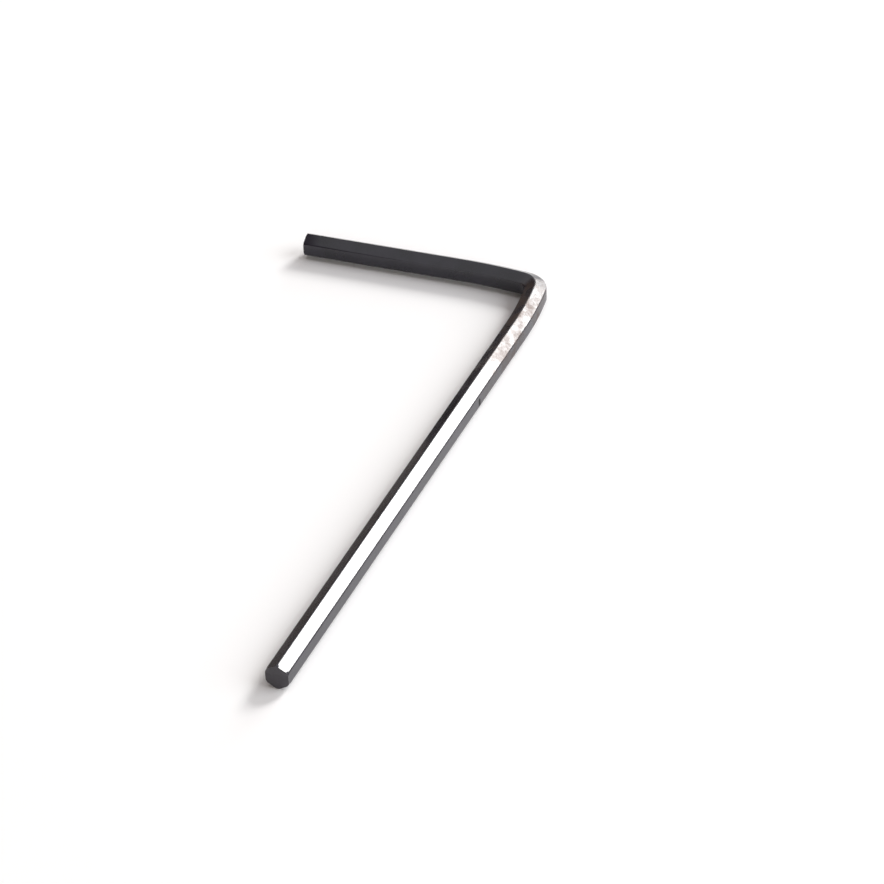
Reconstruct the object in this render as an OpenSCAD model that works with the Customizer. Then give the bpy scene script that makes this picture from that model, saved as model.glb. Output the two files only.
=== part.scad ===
// Hex key: one length of hexagonal steel bar, bent once and chamfered at both tips.
// It lies on the lower corner edge of its bar. The long leg runs along Y with its tip at -Y,
// and the short leg runs along X with its tip at -X. The origin is under the middle of the
// key's outline, on the surface that it lies on.

/* [Bar] */
// Width of the hexagon across its flats
across_flats = 1.5; // [1.3:0.1:2.5]
// Radius rolled on the six long corner edges of the bar
edge_radius = 0.12; // [0.04:0.01:0.3]

/* [Legs] */
// Length of the long leg, from its tip to the outer flat of the short leg
long_leg = 47; // [30:0.5:90]
// Length of the short leg, from its tip to the outer flat of the long leg
short_leg = 18.5; // [13:0.5:36]

/* [Bend] */
// Radius at the tight middle of the bend, along the middle of the bar
bend_radius = 1.5; // [1.3:0.1:4]
// Radius of the gentle run-out on each side of it, where the bar springs towards straight
runout_radius = 34; // [10:1:40]
// Part of the quarter turn that each run-out makes, in degrees
runout_angle = 8; // [2:1:10]

/* [Tips] */
// Width of the chamfer round each end face, from the bar's corner edges inwards
tip_chamfer = 0.04; // [0.02:0.01:0.2]
// Angle between the chamfer and the bar's length
tip_angle = 8; // [5:1:45]

/* [Hidden] */
$fn = 96;
square_turn = 90;
// Degrees that each bend runs on into the stretches beside it, so that they always join up
joint_lap = 0.00000001;

// The corner arcs are centred on this radius and touch both flats beside them.
corner_centre = (across_flats / 2 - edge_radius) / cos(30);
// From the bar's axis to the crest of a corner edge
corner_reach = corner_centre + edge_radius;
end_face_radius = corner_reach - tip_chamfer;

// The centre of the bend's tight middle lies bend_inset inside both legs' axes, and each leg
// is straight from runout_reach before it.
centre_step = runout_radius - bend_radius;
bend_inset = runout_radius - centre_step * cos(runout_angle);
runout_reach = centre_step * sin(runout_angle);
straight_long = long_leg - across_flats / 2 - bend_inset - runout_reach;
straight_short = short_leg - across_flats / 2 - bend_inset - runout_reach;

// Height of the bar's axis above the surface, and the places of the two legs' axes
axis_height = corner_reach;
long_axis_x = (short_leg - across_flats) / 2;
short_axis_y = (long_leg - across_flats) / 2;

// Direction of corner i, counted from the one that points up
function corner_angle(i) = 90 + 60 * i;
function polar(radius, angle) = [radius * cos(angle), radius * sin(angle)];

// Cross-section of the bar: a hexagon with a corner up, a flat on each side, and rounded corners
module bar_section() {
    union() {
        polygon([
            for (i = [0:5], side = [-30, 30])
                polar(corner_centre, corner_angle(i)) + polar(edge_radius, corner_angle(i) + side)
        ]);
        for (i = [0:5])
            translate(polar(corner_centre, corner_angle(i)))
                circle(r = edge_radius);
    }
}

// Room inside the cone that chamfers a tip, with the end face at z = length
module tip_cone(length) {
    wide_radius = corner_reach + edge_radius;
    rotate_extrude()
        polygon([
            [0, 0],
            [wide_radius, 0],
            [wide_radius, length - (wide_radius - end_face_radius) / tan(tip_angle)],
            [end_face_radius, length],
            [0, length]
        ]);
}

// Straight stretch of bar that runs along +Z to its chamfered tip
module leg(length) {
    intersection() {
        linear_extrude(height = length)
            bar_section();
        tip_cone(length);
    }
}

// Bar bent about the origin, from one direction through a turn
module bent_bar(radius, from, turn) {
    rotate_extrude(start = from - joint_lap, angle = turn + 2 * joint_lap)
        translate([radius, 0])
            bar_section();
}

// A move made of whole millimetres, thousandths and what is left, each a short number, so
// that stretches of bar that meet end to end meet exactly
module move_exactly(by) {
    whole = [for (v = by) round(v)];
    fine = [for (v = by - whole) round(v * 1000) / 1000];
    translate(whole)
        translate(fine)
            translate(by - whole - fine)
                children();
}

// The whole bar lying in its plane, with the centre of the bend's tight middle at the origin.
// Each run-out has its own centre, in line with that one and the joint between them.
module bar() {
    long_centre = concat(-polar(centre_step, runout_angle), 0);
    short_centre = concat(-polar(centre_step, square_turn - runout_angle), 0);
    union() {
        bent_bar(bend_radius, runout_angle, square_turn - 2 * runout_angle);
        move_exactly(long_centre) {
            bent_bar(runout_radius, 0, runout_angle);
            translate([runout_radius, 0, 0])
                rotate([90, 0, 0])
                    leg(straight_long);
        }
        move_exactly(short_centre) {
            bent_bar(runout_radius, square_turn - runout_angle, runout_angle);
            translate([0, runout_radius, 0])
                rotate([90, 0, -90])
                    leg(straight_short);
        }
    }
}

module hex_key() {
    color([0.2, 0.2, 0.21])
        translate([long_axis_x - bend_inset, short_axis_y - bend_inset, axis_height])
            bar();
}

hex_key();
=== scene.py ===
"""Looks of a hex key: one length of black steel hexagon bar, bent once, lying on a white table.

The bar is drawn out straight, chamfered at both tips and then bent, as the real one is made.
Lengths are in millimetres in the tables below and in metres on every object.
"""

import math

import bpy
from mathutils import Matrix, Quaternion, Vector


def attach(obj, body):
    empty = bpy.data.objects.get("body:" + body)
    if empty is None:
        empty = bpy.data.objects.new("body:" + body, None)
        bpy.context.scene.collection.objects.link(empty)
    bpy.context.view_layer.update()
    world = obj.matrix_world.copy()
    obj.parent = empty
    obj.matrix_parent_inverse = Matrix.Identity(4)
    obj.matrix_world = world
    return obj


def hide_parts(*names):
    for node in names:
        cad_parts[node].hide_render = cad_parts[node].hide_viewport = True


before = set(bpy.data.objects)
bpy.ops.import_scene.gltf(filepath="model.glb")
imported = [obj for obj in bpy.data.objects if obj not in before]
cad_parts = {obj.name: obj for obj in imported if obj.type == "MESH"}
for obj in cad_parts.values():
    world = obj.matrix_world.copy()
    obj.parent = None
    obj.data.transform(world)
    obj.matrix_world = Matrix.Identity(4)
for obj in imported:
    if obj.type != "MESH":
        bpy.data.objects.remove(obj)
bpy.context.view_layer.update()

MM = 0.001

# Sizes of the key, the same as in the part's source
ACROSS_FLATS = 1.5
EDGE_RADIUS = 0.12
LONG_LEG = 47
SHORT_LEG = 18.5
BEND_RADIUS = 1.5
RUNOUT_RADIUS = 34
RUNOUT_TURN = math.radians(8)
TIP_CHAMFER = 0.04
TIP_ANGLE = math.radians(8)

CORNER_CENTRE = (ACROSS_FLATS / 2 - EDGE_RADIUS) / math.cos(math.radians(30))
CORNER_REACH = CORNER_CENTRE + EDGE_RADIUS
BEND_TURN = math.radians(90) - 2 * RUNOUT_TURN
CENTRE_STEP = RUNOUT_RADIUS - BEND_RADIUS
# From the crossing of the two legs' axes to where each leg is straight
BEND_REACH = (
    RUNOUT_RADIUS
    - CENTRE_STEP * math.cos(RUNOUT_TURN)
    + CENTRE_STEP * math.sin(RUNOUT_TURN)
)
LONG_STRAIGHT = LONG_LEG - ACROSS_FLATS / 2 - BEND_REACH
SHORT_STRAIGHT = SHORT_LEG - ACROSS_FLATS / 2 - BEND_REACH
RUNOUT = RUNOUT_RADIUS * RUNOUT_TURN
BEND = BEND_RADIUS * BEND_TURN
BAR = LONG_STRAIGHT + RUNOUT + BEND + RUNOUT + SHORT_STRAIGHT
BEND_MIDDLE = LONG_STRAIGHT + RUNOUT + BEND / 2
# Where the bar's axis leaves the middle of the long leg's end face
BAR_START = Vector(((SHORT_LEG - ACROSS_FLATS) / 2, -LONG_LEG / 2, CORNER_REACH)) * MM

# The mesh of the bar: the end of each stretch along it, and how many loops the stretch gets
BEVEL = 0.015
TIP = 0.6
STRETCHES = [
    (BEVEL, 5),
    (TIP, 24),
    (LONG_STRAIGHT, 60),
    (LONG_STRAIGHT + RUNOUT, 30),
    (LONG_STRAIGHT + RUNOUT + BEND, 48),
    (LONG_STRAIGHT + 2 * RUNOUT + BEND, 30),
    (BAR - TIP, 20),
    (BAR - BEVEL, 24),
    (BAR, 5),
]
CORNER_LOOPS = 9
FLAT_LOOPS = 12

# Patterns of the steel: how wide each is, and how deep where it has a relief
CLOUD = 2
LINE_WIDTH = 0.08
LINE_LENGTH = 3
LINE_DEPTH = 0.003
PATCH = 1.5
SPECK = 0.2
SCALE_DEPTH = 0.02

# Marks on the steel: how far before and after the middle of the bend the scale begins and
# ends, how far in the end faces are ground, and the place and half size of the nick. These
# are across the bar, along it and upwards.
SCALE_BEGINS = (-17, -5)
SCALE_ENDS = (-0.5, 1)
GROUND = 0.02
NICK_PLACE = (ACROSS_FLATS / 2, 31.36, -0.12)
NICK_SIZE = (0.1, 0.13, 0.27)
NICK_DEPTH = 0.04


def linear(colour):
    """An sRGB hex colour as the linear RGBA that Blender's sockets take."""
    parts = [int(colour[i : i + 2], 16) / 255 for i in (1, 3, 5)]
    return [c / 12.92 if c <= 0.04045 else ((c + 0.055) / 1.055) ** 2.4 for c in parts] + [1]


def add(tree, kind, inputs=None, **settings):
    """A node with its settings. Each input takes a number, an output or a node's first output."""
    made = tree.nodes.new(kind)
    for name, value in settings.items():
        setattr(made, name, value)
    for name, value in (inputs or {}).items():
        if isinstance(value, bpy.types.Node):
            value = value.outputs[0]
        if isinstance(value, bpy.types.NodeSocket):
            tree.links.new(value, made.inputs[name])
        else:
            made.inputs[name].default_value = value
    return made


def start_tree(name, sockets):
    """A geometry tree with these named inputs: the tree, its inputs and its output node."""
    tree = bpy.data.node_groups.new(name, "GeometryNodeTree")
    for label, kind in sockets.items():
        tree.interface.new_socket(label, in_out="INPUT", socket_type="NodeSocket" + kind)
    tree.interface.new_socket("Geometry", in_out="OUTPUT", socket_type="NodeSocketGeometry")
    return tree, add(tree, "NodeGroupInput").outputs, add(tree, "NodeGroupOutput")


def bending_tree():
    """Bends a bar that runs along +Y towards -X from a start on, and swings the rest round."""
    tree, given, result = start_tree(
        "bend", {"Geometry": "Geometry", "Start": "Float", "Radius": "Float", "Turn": "Float"}
    )
    math_node = "ShaderNodeMath"
    place = add(tree, "GeometryNodeInputPosition")
    x, y, z = add(tree, "ShaderNodeSeparateXYZ", {0: place}).outputs
    past = add(tree, math_node, {0: y, 1: given["Start"]}, operation="SUBTRACT")
    whole = add(tree, math_node, {0: given["Radius"], 1: given["Turn"]}, operation="MULTIPLY")
    bent = add(tree, "ShaderNodeClamp", {"Value": past, "Min": 0.0, "Max": whole})
    turn = add(tree, math_node, {0: bent, 1: given["Radius"]}, operation="DIVIDE")
    rest = add(tree, math_node, {0: y, 1: bent}, operation="SUBTRACT")
    unturned = add(tree, "ShaderNodeCombineXYZ", {0: x, 1: rest, 2: z})
    inwards = add(tree, math_node, {0: given["Radius"], 1: -1.0}, operation="MULTIPLY")
    centre = add(tree, "ShaderNodeCombineXYZ", {0: inwards, 1: given["Start"]})
    turned = add(
        tree,
        "ShaderNodeVectorRotate",
        {"Vector": unturned, "Center": centre, "Angle": turn},
        rotation_type="Z_AXIS",
    )
    moved = add(
        tree, "GeometryNodeSetPosition", {"Geometry": given["Geometry"], "Position": turned}
    )
    tree.links.new(moved.outputs[0], result.inputs[0])
    return tree


def bar_tree():
    """The whole key: a rounded hexagon drawn along the bar, chamfered at both tips and bent."""
    sizes = ["Across flats", "Edge radius", "End face radius", "Tip angle", "Bevel", "Bar length"]
    sizes += ["Long straight", "Run-out radius", "Run-out turn", "Bend radius", "Bend turn"]
    tree, given, result = start_tree(
        "hex bar", {"Steel": "Material", **{size: "Float" for size in sizes}}
    )
    math_node = "ShaderNodeMath"

    # Section: a hexagon with its six corner edges rolled to a small radius
    root_3 = math.sqrt(3)
    corner = add(tree, math_node, {0: given["Across flats"], 1: root_3}, operation="DIVIDE")
    hexagon = add(tree, "GeometryNodeCurvePrimitiveCircle", {"Resolution": 6, "Radius": corner})
    rolled = add(
        tree,
        "GeometryNodeFilletCurve",
        {"Curve": hexagon, "Count": CORNER_LOOPS, "Radius": given["Edge radius"]},
        mode="POLY",
    )
    index = add(tree, "GeometryNodeInputIndex")
    step = add(tree, math_node, {0: index, 1: CORNER_LOOPS + 1.0}, operation="MODULO")
    last = add(tree, math_node, {0: step, 1: float(CORNER_LOOPS), 2: 0.5}, operation="COMPARE")
    cuts = add(tree, math_node, {0: last, 1: FLAT_LOOPS - 1.0}, operation="MULTIPLY")
    divided = add(tree, "GeometryNodeSubdivideCurve", {"Curve": rolled, "Cuts": cuts})
    corner_up = (0, 0, math.radians(90))
    section = add(tree, "GeometryNodeTransform", {"Geometry": divided, "Rotation": corner_up})

    # Path: a straight line along +Y, with its points close together where the shape changes
    count = sum(loops for _, loops in STRETCHES)
    line = add(tree, "GeometryNodeCurvePrimitiveLine", {"End": (0, 1, 0)})
    points = add(tree, "GeometryNodeResampleCurve", {"Curve": line, "Count": count + 1})
    first, begun, along = 0, 0, None
    for end, loops in STRETCHES:
        share = add(
            tree,
            "ShaderNodeMapRange",
            {
                "Value": index,
                "From Min": first,
                "From Max": first + loops,
                "To Max": (end - begun) * MM,
            },
        )
        along = add(tree, math_node, {0: along, 1: share}, operation="ADD") if along else share
        first, begun = first + loops, end
    spot = add(tree, "ShaderNodeCombineXYZ", {1: along})
    path = add(tree, "GeometryNodeSetPosition", {"Geometry": points, "Position": spot})
    upright = add(tree, "GeometryNodeSetCurveNormal", {"Curve": path}, mode="Z_UP")
    drawn = add(
        tree,
        "GeometryNodeCurveToMesh",
        {"Curve": upright, "Profile Curve": section, "Fill Caps": True},
    )

    # Tips: nothing reaches past a cone that widens from the end face, whose rim is broken
    place = add(tree, "GeometryNodeInputPosition")
    x, y, z = add(tree, "ShaderNodeSeparateXYZ", {0: place}).outputs
    from_short = add(tree, math_node, {0: given["Bar length"], 1: y}, operation="SUBTRACT")
    from_tip = add(tree, math_node, {0: y, 1: from_short}, operation="MINIMUM")
    slope = add(tree, math_node, {0: given["Tip angle"]}, operation="TANGENT")
    cone = add(
        tree,
        math_node,
        {0: from_tip, 1: slope, 2: given["End face radius"]},
        operation="MULTIPLY_ADD",
    )
    near = add(
        tree,
        "ShaderNodeMapRange",
        {"Value": from_tip, "From Max": given["Bevel"], "To Min": 1.0, "To Max": 0.0},
    )
    curl = add(tree, math_node, {0: near, 1: 2.0}, operation="POWER")
    broken = add(tree, math_node, {0: curl, 1: given["Bevel"]}, operation="MULTIPLY")
    room = add(tree, math_node, {0: cone, 1: broken}, operation="SUBTRACT")
    across = add(tree, "ShaderNodeCombineXYZ", {0: x, 2: z})
    reach = add(tree, "ShaderNodeVectorMath", {0: across}, operation="LENGTH")
    share = add(tree, math_node, {0: room, 1: reach.outputs["Value"]}, operation="DIVIDE")
    kept = add(tree, math_node, {0: share, 1: 1.0}, operation="MINIMUM")
    narrower = add(tree, "ShaderNodeCombineXYZ", {0: kept, 1: 1.0, 2: kept})
    turned = add(tree, "ShaderNodeVectorMath", {0: place, 1: narrower}, operation="MULTIPLY")
    tipped = add(tree, "GeometryNodeSetPosition", {"Geometry": drawn, "Position": turned})

    # Each point keeps its place on the straight bar, which the patterns of the steel follow
    marked = add(
        tree,
        "GeometryNodeStoreNamedAttribute",
        {"Geometry": tipped, "Name": "unbent", "Value": place},
        data_type="FLOAT_VECTOR",
    )

    # The bend furthest along the bar comes first, while the rest is still straight
    run_out = (given["Run-out radius"], given["Run-out turn"])
    tight = (given["Bend radius"], given["Bend turn"])
    starts = [given["Long straight"]]
    for radius, turn in (run_out, tight):
        length = add(tree, math_node, {0: radius, 1: turn}, operation="MULTIPLY")
        starts.append(add(tree, math_node, {0: starts[-1], 1: length}, operation="ADD"))
    bend, shape = bending_tree(), marked
    for start, (radius, turn) in zip(reversed(starts), (run_out, tight, run_out)):
        shape = add(
            tree,
            "GeometryNodeGroup",
            {"Geometry": shape, "Start": start, "Radius": radius, "Turn": turn},
            node_tree=bend,
        )
    real = add(tree, "GeometryNodeRealizeInstances", {0: shape})
    steel = add(tree, "GeometryNodeSetMaterial", {"Geometry": real, "Material": given["Steel"]})
    tree.links.new(steel.outputs[0], result.inputs[0])
    return tree


def black_oxide_steel():
    """Cold-drawn steel, blackened hot in an oxide bath and oiled.

    The oxide is a thin dark skin that holds oil, so the eye sees a near-black body colour under
    a clear satin gloss, with fine drawing lines along the bar. The bar was bent while it was
    red hot, which left a pale, rough, mottled scale before the bend, with a faintly brown
    gloss. The tips were sheared and ground, so their end faces are duller and lighter.
    """
    made = bpy.data.materials.new("black_oxide_drawn_steel")
    made.use_nodes = True
    tree = made.node_tree
    tree.nodes.clear()
    math_node, range_node, noise_node = "ShaderNodeMath", "ShaderNodeMapRange", "ShaderNodeTexNoise"
    mix_node = "ShaderNodeMix"
    unbent = add(tree, "ShaderNodeAttribute", attribute_name="unbent").outputs["Vector"]
    in_mm = add(tree, "ShaderNodeVectorMath", {0: unbent, "Scale": 1 / MM}, operation="SCALE")
    y = add(tree, "ShaderNodeSeparateXYZ", {0: in_mm}).outputs["Y"]

    # Tone: the oxide takes a little more or less depth in clouds about 2 mm across
    clouds = add(tree, noise_node, {"Vector": in_mm, "Scale": 1 / CLOUD, "Detail": 3.0})
    tone = add(tree, "ShaderNodeValToRGB", {0: clouds})
    tone.color_ramp.elements[0].position = 0.35
    tone.color_ramp.elements[0].color = linear("#1b1a22")
    tone.color_ramp.elements[1].position = 0.65
    tone.color_ramp.elements[1].color = linear("#27252f")

    # Drawing lines: the die leaves them about 0.02 mm wide. They are drawn 0.08 mm wide and
    # 3 mm long, because finer ones are lost between the pixels.
    across = add(
        tree,
        "ShaderNodeVectorMath",
        {0: in_mm, 1: (1 / LINE_WIDTH, 1 / LINE_LENGTH, 1 / LINE_WIDTH)},
        operation="MULTIPLY",
    )
    lines = add(tree, noise_node, {"Vector": across, "Scale": 1.0, "Detail": 2.0})

    # Scale: patches about 1.5 mm across, broken up by specks of about 0.2 mm, on the stretch
    # that was in the fire
    begun = add(
        tree,
        range_node,
        {
            "Value": y,
            "From Min": BEND_MIDDLE + SCALE_BEGINS[0],
            "From Max": BEND_MIDDLE + SCALE_BEGINS[1],
        },
        interpolation_type="SMOOTHSTEP",
    )
    ended = add(
        tree,
        range_node,
        {
            "Value": y,
            "From Min": BEND_MIDDLE + SCALE_ENDS[0],
            "From Max": BEND_MIDDLE + SCALE_ENDS[1],
            "To Min": 1.0,
            "To Max": 0.0,
        },
        interpolation_type="SMOOTHSTEP",
    )
    heated = add(tree, math_node, {0: begun, 1: ended}, operation="MULTIPLY")
    patches = add(tree, noise_node, {"Vector": in_mm, "Scale": 1 / PATCH, "Detail": 2.0})
    specks = add(tree, noise_node, {"Vector": in_mm, "Scale": 1 / SPECK, "Detail": 3.0})
    broken = add(tree, math_node, {0: specks, 1: 0.35, 2: patches}, operation="MULTIPLY_ADD")
    flaked = add(
        tree,
        range_node,
        {"Value": broken, "From Min": 0.52, "From Max": 0.9},
        interpolation_type="SMOOTHSTEP",
    )
    scale = add(tree, math_node, {0: heated, 1: flaked}, operation="MULTIPLY")

    # End faces: a thin layer at either tip
    from_short = add(tree, math_node, {0: BAR, 1: y}, operation="SUBTRACT")
    from_tip = add(tree, math_node, {0: y, 1: from_short}, operation="MINIMUM")
    cropped = add(tree, math_node, {0: from_tip, 1: GROUND}, operation="LESS_THAN")

    # Nick: one short, deep knock across the outer side of the long leg: a real dent and duller
    # gloss, with painted shade inside it
    from_nick = add(
        tree,
        "ShaderNodeVectorMath",
        {0: in_mm, 1: NICK_PLACE},
        operation="SUBTRACT",
    )
    narrowed = add(
        tree,
        "ShaderNodeVectorMath",
        {0: from_nick, 1: [1 / size for size in NICK_SIZE]},
        operation="MULTIPLY",
    )
    far = add(tree, "ShaderNodeVectorMath", {0: narrowed}, operation="LENGTH").outputs["Value"]
    nick_and_painted_shade = add(
        tree,
        range_node,
        {"Value": far, "From Min": 0.8, "From Max": 1.5, "To Min": 1.0, "To Max": 0.0},
    )

    scaled = add(
        tree,
        mix_node,
        {"Factor": scale, "A": tone, "B": linear("#3c322e")},
        data_type="RGBA",
    ).outputs["Result"]
    # Painted shade: inside the nick the colour goes near black, standing in for the shade in the
    # dent
    with_painted_nick_shade = add(
        tree,
        mix_node,
        {"Factor": nick_and_painted_shade, "A": scaled, "B": linear("#0d0c0e")},
        data_type="RGBA",
    ).outputs["Result"]
    colour = add(
        tree,
        mix_node,
        {"Factor": cropped, "A": with_painted_nick_shade, "B": linear("#37353a")},
        data_type="RGBA",
    ).outputs["Result"]
    tint = add(
        tree,
        mix_node,
        {"Factor": scale, "A": linear("#ffffff"), "B": linear("#f6ddd2")},
        data_type="RGBA",
    ).outputs["Result"]
    streaked = add(tree, range_node, {"Value": lines, "To Min": 0.1, "To Max": 0.16})
    warmed = add(tree, math_node, {0: heated, 1: 0.11, 2: streaked}, operation="MULTIPLY_ADD")
    flaky = add(tree, range_node, {"Value": scale, "To Min": warmed, "To Max": 0.45})
    duller = add(tree, range_node, {"Value": nick_and_painted_shade, "To Min": flaky, "To Max": 0.9})
    roughness = add(tree, range_node, {"Value": cropped, "To Min": duller, "To Max": 0.5})
    drawn = add(
        tree,
        "ShaderNodeBump",
        {"Height": lines, "Strength": 0.1, "Distance": LINE_DEPTH * MM},
    )
    relief = add(tree, math_node, {0: specks, 1: scale}, operation="MULTIPLY")
    pitted = add(
        tree,
        "ShaderNodeBump",
        {"Height": relief, "Strength": 0.5, "Distance": SCALE_DEPTH * MM, "Normal": drawn},
    )
    dented = add(
        tree,
        "ShaderNodeBump",
        {"Height": nick_and_painted_shade, "Distance": NICK_DEPTH * MM, "Normal": pitted},
        invert=True,
    )
    shader = add(
        tree,
        "ShaderNodeBsdfPrincipled",
        {
            "Base Color": colour,
            "Roughness": roughness,
            "IOR": 1.5,
            "Specular Tint": tint,
            "Normal": dented,
        },
    )
    add(tree, "ShaderNodeOutputMaterial", {"Surface": shader})
    return made


def draw_bar(steel):
    """The bar as a plain mesh, made by its tree and then freed of it."""
    tree = bar_tree()
    blank = bpy.data.objects.new("blank", bpy.data.meshes.new("blank"))
    bpy.context.scene.collection.objects.link(blank)
    maker = blank.modifiers.new("hex bar", "NODES")
    maker.node_group = tree
    values = {
        "Steel": steel,
        "Across flats": ACROSS_FLATS * MM,
        "Edge radius": EDGE_RADIUS * MM,
        "End face radius": (CORNER_REACH - TIP_CHAMFER) * MM,
        "Tip angle": TIP_ANGLE,
        "Bevel": BEVEL * MM,
        "Bar length": BAR * MM,
        "Long straight": LONG_STRAIGHT * MM,
        "Run-out radius": RUNOUT_RADIUS * MM,
        "Run-out turn": RUNOUT_TURN,
        "Bend radius": BEND_RADIUS * MM,
        "Bend turn": BEND_TURN,
    }
    for socket in tree.interface.items_tree:
        if socket.in_out == "INPUT":
            maker[socket.identifier] = values[socket.name]
    depsgraph = bpy.context.evaluated_depsgraph_get()
    mesh = bpy.data.meshes.new_from_object(
        blank.evaluated_get(depsgraph), preserve_all_data_layers=True, depsgraph=depsgraph
    )
    bpy.data.objects.remove(blank)
    mesh.transform(Matrix.Translation(BAR_START))
    mesh.shade_smooth()
    mesh.set_sharp_from_angle(angle=math.radians(30))
    bar = bpy.data.objects.new("bent_bar", mesh)
    bpy.context.scene.collection.objects.link(bar)
    return bar


bar = draw_bar(black_oxide_steel())
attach(bar, "root")
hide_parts("hex_key")


def plain(name, shader_kind, inputs):
    """A material of one shader."""
    made = bpy.data.materials.new(name)
    made.use_nodes = True
    made.node_tree.nodes.clear()
    shader = add(made.node_tree, shader_kind, inputs)
    add(made.node_tree, "ShaderNodeOutputMaterial", {"Surface": shader})
    return made


def flat_piece(name, corners, material):
    """A flat staging piece with these corners, in millimetres."""
    mesh = bpy.data.meshes.new(name)
    mesh.from_pydata([Vector(corner) * MM for corner in corners], [], [(0, 1, 2, 3)])
    mesh.materials.append(material)
    made = bpy.data.objects.new(name, mesh)
    bpy.context.scene.collection.objects.link(made)
    return made


# White table, far larger than the key. This is half its side.
TABLE = 1500
flat_piece(
    "table",
    [(-TABLE, -TABLE, 0), (TABLE, -TABLE, 0), (TABLE, TABLE, 0), (-TABLE, TABLE, 0)],
    plain("white_table", "ShaderNodeBsdfDiffuse", {"Color": linear("#ffffff")}),
)

# Dark board on the left, which only the gloss of the steel shows. It keeps the left side of the
# long leg dark beside its strip of light.
BOARD_X = -15
BOARD_FRONT = -12
BOARD_BACK = 70
BOARD_TOP = 18
board = flat_piece(
    "dark_board",
    [
        (BOARD_X, BOARD_FRONT, 0),
        (BOARD_X, BOARD_BACK, 0),
        (BOARD_X, BOARD_BACK, BOARD_TOP),
        (BOARD_X, BOARD_FRONT, BOARD_TOP),
    ],
    plain("brown_board", "ShaderNodeBsdfDiffuse", {"Color": linear("#564c43")}),
)
board.visible_camera = False
board.visible_diffuse = False
board.visible_shadow = False

# Camera, fitted to the long edges of the key in the photograph
camera_data = bpy.data.cameras.new("camera")
camera_data.lens = 162.951
camera_data.clip_start = 0.01
camera_data.clip_end = 10
camera = bpy.data.objects.new("camera", camera_data)
camera.location = Vector((92.646, -192.7831, 143.5658)) * MM
AIM = Vector((8.6682, 2.7049, 0.8438)) * MM
CAMERA_ROLL = math.radians(-3.12774)
look = (AIM - camera.location).to_track_quat("-Z", "Y")
camera.rotation_mode = "QUATERNION"
camera.rotation_quaternion = look @ Quaternion((0, 0, 1), CAMERA_ROLL)
bpy.context.scene.collection.objects.link(camera)
bpy.context.scene.camera = camera


# From the key to every lamp, in metres
LAMP_DISTANCE = 1.5


def softbox(name, azimuth, elevation, wide, high, radiance, colour="#ffffff"):
    """A soft lamp that faces the key, with its place and its size as seen from there in degrees.

    Azimuth 0 is behind the key, along +Y, and 90 is at +X.
    """
    data = bpy.data.lights.new(name, "AREA")
    data.shape = "RECTANGLE"
    data.size = 2 * LAMP_DISTANCE * math.tan(math.radians(wide / 2))
    data.size_y = 2 * LAMP_DISTANCE * math.tan(math.radians(high / 2))
    data.energy = radiance * data.size * data.size_y * math.pi
    data.color = linear(colour)[:3]
    a, e = math.radians(azimuth), math.radians(elevation)
    way = Vector((math.sin(a) * math.cos(e), math.cos(a) * math.cos(e), math.sin(e)))
    lamp = bpy.data.objects.new(name, data)
    lamp.location = way * LAMP_DISTANCE
    lamp.rotation_mode = "QUATERNION"
    lamp.rotation_quaternion = (-way).to_track_quat("-Z", "Y")
    bpy.context.scene.collection.objects.link(lamp)


softbox("window", azimuth=23, elevation=33, wide=16, high=18, radiance=25.5, colour="#fffefd")
softbox("window_foot", azimuth=8, elevation=13, wide=20, high=24, radiance=6.5)
softbox("right_fill", azimuth=80, elevation=32, wide=50, high=36, radiance=3.4, colour="#f8fbff")
softbox("front_fill", azimuth=150, elevation=20, wide=50, high=20, radiance=2.6)

# Room: white for the camera and in the gloss of the steel. Its light is warm at the horizon,
# dimmer above it and pale overhead.
world = bpy.data.worlds.new("room")
bpy.context.scene.world = world
world.use_nodes = True
world.node_tree.nodes.clear()
tree = world.node_tree
way = add(tree, "ShaderNodeTexCoord").outputs["Generated"]
height = add(tree, "ShaderNodeSeparateXYZ", {0: way}).outputs["Z"]
sky = add(tree, "ShaderNodeValToRGB", {0: height})
for spot, colour in ((0.3, "#6a5e54"), (0.6, "#5a5049"), (0.85, "#857e78")):
    sky.color_ramp.elements.new(spot).color = linear(colour)
sky.color_ramp.elements[0].color = linear("#b39c84")
sky.color_ramp.elements[-1].color = linear("#e0dee4")
rays = add(tree, "ShaderNodeLightPath").outputs
seen = rays["Is Camera Ray"]
for kind in ("Is Glossy Ray", "Is Transmission Ray"):
    seen = add(tree, "ShaderNodeMath", {0: seen, 1: rays[kind]}, operation="MAXIMUM").outputs[0]
shown = add(
    tree,
    "ShaderNodeMix",
    {"Factor": seen, "A": sky, "B": linear("#ffffff")},
    data_type="RGBA",
)
light = add(tree, "ShaderNodeBackground", {"Color": shown.outputs["Result"]})
add(tree, "ShaderNodeOutputWorld", {"Surface": light})

bpy.context.scene.view_settings.view_transform = "Standard"
